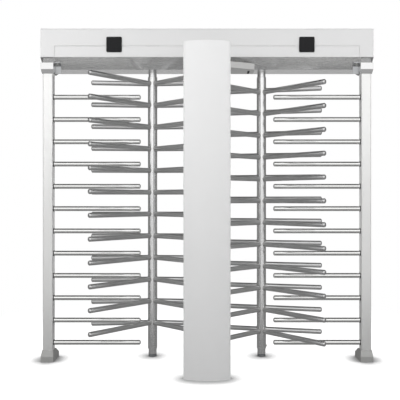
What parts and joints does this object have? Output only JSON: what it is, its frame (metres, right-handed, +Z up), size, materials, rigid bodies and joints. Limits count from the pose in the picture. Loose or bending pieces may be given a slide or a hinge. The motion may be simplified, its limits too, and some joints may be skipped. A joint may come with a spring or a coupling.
{
  "type": "full height turnstile",
  "caption": "Double full height turnstile: two rotors of horizontal arms between fixed combs, centre pillar and overhead housing.",
  "frame": {"origin": "centre of the footprint, on the floor", "axes": "+Z up, -Y towards the centre pillar's front face, +X to the right seen from there"},
  "size_m": [2.362, 0.806, 2.366],
  "materials": {
    "housing": "fine satin sheet",
    "satin": "satin",
    "tube": "polished tube",
    "shoe": "dull satin",
    "reader": "gloss",
    "plate": "mill finish",
    "casting": "painted casting",
    "bearing": "ground",
    "bolt": "zinc plated",
    "coil": "semi-gloss paint",
    "plastic": "matt"
  },
  "bodies": {
    "frame": {"housing_front_panel": "housing", "housing_lower_panel": "housing", "housing_cover": "housing", "housing_rear_panel": "housing", "housing_soffit": "plate", "lintel_beam": "satin", "pillar_front_cover": "housing", "pillar_back_cover": "housing", "pillar_column": "plate", "head_bracket": "satin", "control_box": "plastic", "power_supply": "plate", "left_reader_window": "reader", "left_end_bracket": "plate", "left_comb_post": "satin", "left_post_shoe": "shoe", "left_post_head": "satin", "left_inner_anchor": "bolt", "left_outer_anchor": "bolt", "left_floor_socket": "casting", "left_bottom_bearing": "bearing", "left_top_bearing": "bearing", "left_bearing_housing": "casting", "left_mechanism_plate": "plate", "left_solenoid": "coil", "left_damper": "casting", "right_reader_window": "reader", "right_end_bracket": "plate", "right_comb_post": "satin", "right_post_shoe": "shoe", "right_post_head": "satin", "right_inner_anchor": "bolt", "right_outer_anchor": "bolt", "right_floor_socket": "casting", "right_bottom_bearing": "bearing", "right_top_bearing": "bearing", "right_bearing_housing": "casting", "right_mechanism_plate": "plate", "right_solenoid": "coil", "right_damper": "casting"},
    "left_rotor": {"left_rotor_shaft": "tube", "left_index_disc": "plate", "left_arm_section_1": "tube", "left_arm_section_2": "tube", "left_arm_section_3": "tube", "left_arm_section_4": "tube", "left_arm_section_5": "tube", "left_arm_section_6": "tube"},
    "left_pawl": {"left_lock_pawl": "plate"},
    "left_plunger_rod": {"left_plunger": "bolt"},
    "right_rotor": {"right_rotor_shaft": "tube", "right_index_disc": "plate", "right_arm_section_1": "tube", "right_arm_section_2": "tube", "right_arm_section_3": "tube", "right_arm_section_4": "tube", "right_arm_section_5": "tube", "right_arm_section_6": "tube"},
    "right_pawl": {"right_lock_pawl": "plate"},
    "right_plunger_rod": {"right_plunger": "bolt"}
  },
  "joints": [
    {"name": "left_rotor_turn", "type": "hinge", "parent": "frame", "child": "left_rotor", "pos_m": [-0.402, 0.218, 0], "axis": [0, 0, 1], "continuous": true},
    {"name": "left_pawl_swing", "type": "hinge", "parent": "frame", "child": "left_pawl", "pos_m": [-0.52, 0.133, 2.225], "axis": [0, 0, -1], "range_deg": [0, 11.4], "stiffness_Nm_per_rad": 0.4},
    {"name": "left_plunger_slide", "type": "slide", "parent": "frame", "child": "left_plunger_rod", "axis": [1, 0, 0], "range_m": [0, 0.015]},
    {"name": "right_rotor_turn", "type": "hinge", "parent": "frame", "child": "right_rotor", "pos_m": [0.402, 0.218, 0], "axis": [0, 0, 1], "continuous": true},
    {"name": "right_pawl_swing", "type": "hinge", "parent": "frame", "child": "right_pawl", "pos_m": [0.52, 0.133, 2.225], "axis": [0, 0, 1], "range_deg": [0, 11.4], "stiffness_Nm_per_rad": 0.4},
    {"name": "right_plunger_slide", "type": "slide", "parent": "frame", "child": "right_plunger_rod", "axis": [-1, 0, 0], "range_m": [0, 0.015]}
  ],
  "couplings": [
    {"joint": "left_plunger_slide", "follows": "left_pawl_swing", "m_per_rad": 0.075},
    {"joint": "right_plunger_slide", "follows": "right_pawl_swing", "m_per_rad": 0.075}
  ]
}
